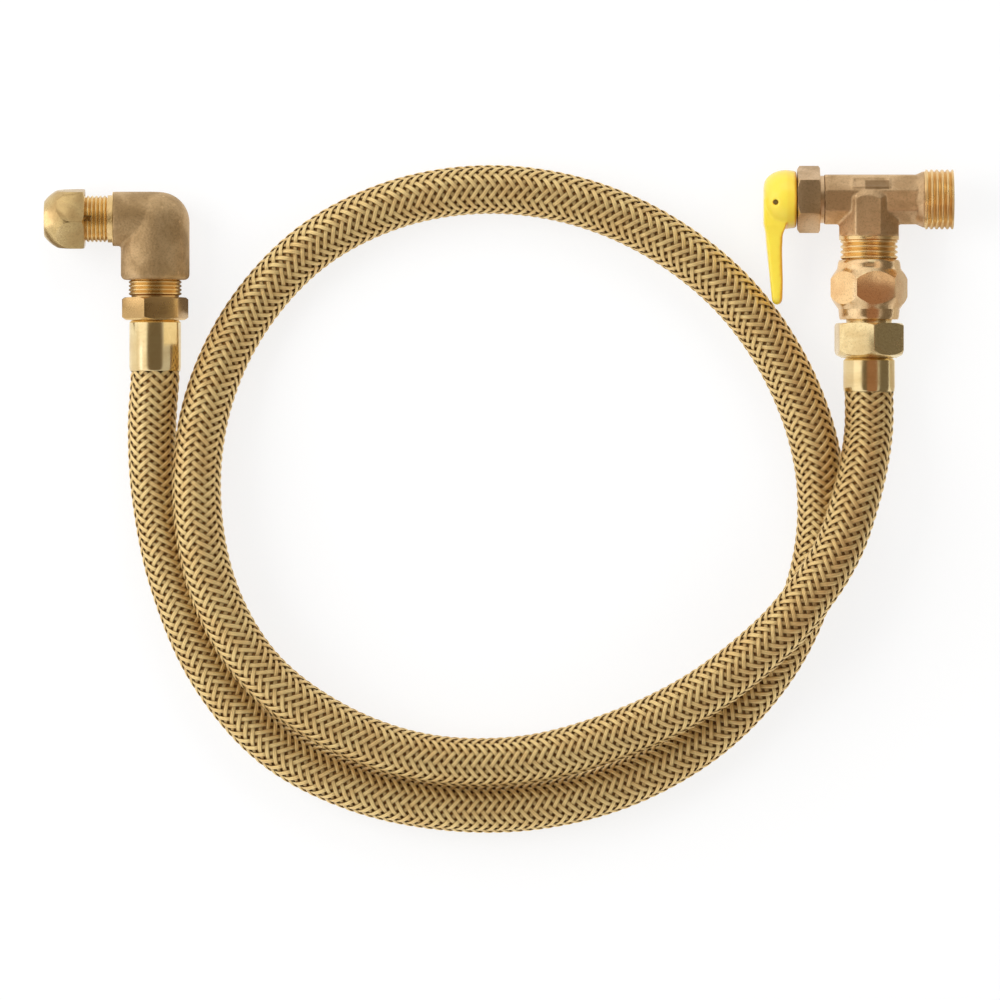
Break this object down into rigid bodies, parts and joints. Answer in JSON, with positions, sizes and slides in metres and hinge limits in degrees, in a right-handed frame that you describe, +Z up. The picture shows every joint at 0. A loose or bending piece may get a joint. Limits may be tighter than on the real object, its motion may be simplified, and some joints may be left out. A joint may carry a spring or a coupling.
{
  "type": "propane regulator hose",
  "caption": "Braided gas hose in loose loops, with a compression elbow at one end and a quarter-turn angle valve with a yellow lever at the other.",
  "frame": {"origin": "on the surface that the part lies on, under the middle of the box round the two end fittings (the hose left out)", "axes": "+X from the elbow end to the valve end, along the inlet thread; +Z up from the surface; the hose loops lie towards -Y"},
  "size_m": [0.3135, 0.2302, 0.0349],
  "materials": {
    "brass_cast": "sand-cast brass, matte",
    "brass_forged": "forged brass, satin, brownish",
    "brass_turned": "machined brass",
    "brass_polished": "polished brass",
    "braid": "woven gold-coloured wire",
    "rubber": "black nitrile rubber",
    "seal": "white fluoropolymer",
    "steel": "plated steel",
    "lever_yellow": "glossy yellow"
  },
  "bodies": {
    "hose_assembly": {"elbow_body": "brass_cast", "elbow_hose_stem": "brass_turned", "elbow_ferrule": "brass_polished", "hose_braid": "braid", "hose_liner": "rubber", "valve_ferrule": "brass_polished", "valve_hose_stem": "brass_polished", "swivel_nut": "brass_polished", "slip_washer": "steel", "union_gasket": "rubber", "valve_body": "brass_forged", "bonnet_nut": "brass_forged", "bonnet_gasket": "steel", "inlet_seat": "seal", "outlet_seat": "seal", "thrust_washer": "seal"},
    "lever_set": {"lever": "lever_yellow", "lever_pin": "steel", "valve_stem": "brass_turned", "valve_ball": "steel", "stem_o_rings": "rubber"},
    "sealing_sleeve": {"tube_sleeve": "brass_turned"},
    "tube_nut": {"compression_nut": "brass_turned"}
  },
  "joints": [
    {"name": "lever_turn", "type": "hinge", "parent": "hose_assembly", "child": "lever_set", "pos_m": [0.0977, 0.02763, 0.01275], "axis": [-1, 0, 0], "range_deg": [0, 90]},
    {"name": "nut_travel", "type": "slide", "parent": "hose_assembly", "child": "sealing_sleeve", "axis": [1, 0, 0], "range_m": [-0.00141, 0.00141]},
    {"name": "nut_turn", "type": "hinge", "parent": "sealing_sleeve", "child": "tube_nut", "pos_m": [-0.14956, 0.02094, 0.01185], "axis": [1, 0, 0], "range_deg": [-360, 360]}
  ],
  "couplings": [
    {"joint": "nut_turn", "follows": "nut_travel", "rad_per_m": 4453}
  ]
}
